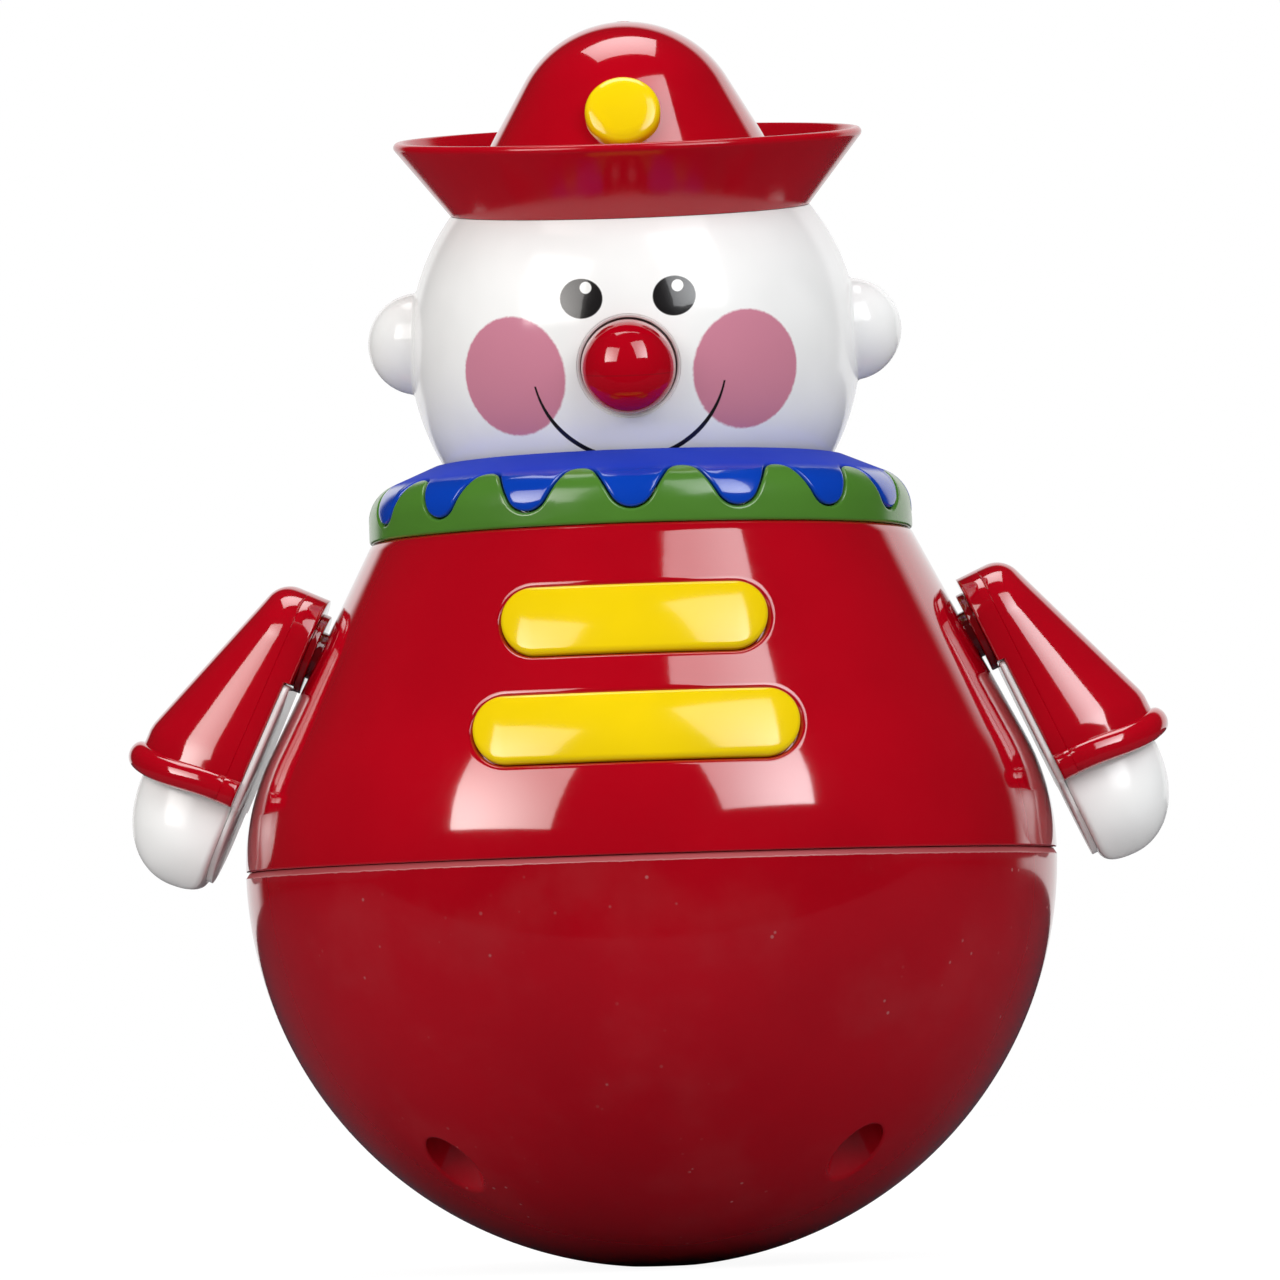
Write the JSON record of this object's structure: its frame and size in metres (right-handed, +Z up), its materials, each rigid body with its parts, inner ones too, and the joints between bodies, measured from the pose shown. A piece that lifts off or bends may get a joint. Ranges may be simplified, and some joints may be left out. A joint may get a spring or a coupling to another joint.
{
  "type": "roly poly toy",
  "caption": "Weighted roly poly clown with a round base, conical body, scalloped collar, turning head with a push-in nose, and turning arms.",
  "frame": {"origin": "centre of the small flat foot under the base", "axes": "+Z up the toy's axis, -Y the way the face looks, +X to the figure's own left"},
  "size_m": [0.169, 0.13, 0.1994],
  "materials": {
    "red_plastic": "gloss moulded",
    "white_plastic": "gloss moulded",
    "yellow_plastic": "gloss moulded",
    "blue_plastic": "gloss moulded",
    "green_plastic": "gloss moulded",
    "steel": "plated",
    "iron": "as cast"
  },
  "bodies": {
    "body": {"base_shell": "red_plastic", "base_screws": "steel", "ballast_weight": "iron", "ballast_cover": "white_plastic", "ballast_screw": "steel", "body_shell": "red_plastic", "upper_chest_bar": "yellow_plastic", "lower_chest_bar": "yellow_plastic", "green_collar": "green_plastic", "blue_collar": "blue_plastic"},
    "head": {"head_front": "white_plastic", "head_back": "white_plastic", "neck_post": "white_plastic", "neck_screws": "steel", "neck_washer": "white_plastic", "neck_washer_screw": "steel", "nose_spring": "steel", "hat": "red_plastic", "hat_badge": "yellow_plastic"},
    "nose": {"nose": "red_plastic", "nose_clip": "steel"},
    "left_arm": {"left_sleeve": "red_plastic", "left_hand": "white_plastic", "left_back_plate": "white_plastic", "left_arm_shaft": "red_plastic", "left_arm_washer": "white_plastic", "left_arm_screw": "steel"},
    "right_arm": {"right_sleeve": "red_plastic", "right_hand": "white_plastic", "right_back_plate": "white_plastic", "right_arm_shaft": "red_plastic", "right_arm_washer": "white_plastic", "right_arm_screw": "steel"}
  },
  "joints": [
    {"name": "head_turn", "type": "hinge", "parent": "body", "child": "head", "pos_m": [0, 0, 0.11677], "axis": [0, 0, 1], "range_deg": [-60, 60]},
    {"name": "left_arm_turn", "type": "hinge", "parent": "body", "child": "left_arm", "pos_m": [0.05229, 0, 0.09927], "axis": [0.9092, 0, 0.4163], "continuous": true},
    {"name": "right_arm_turn", "type": "hinge", "parent": "body", "child": "right_arm", "pos_m": [-0.05229, 0, 0.09927], "axis": [-0.9092, 0, 0.4163], "continuous": true},
    {"name": "nose_push", "type": "slide", "parent": "head", "child": "nose", "axis": [0, 0.9871, 0.1599], "range_m": [0, 0.0025], "stiffness_N_per_m": 400, "deforming": ["nose_spring"]}
  ]
}
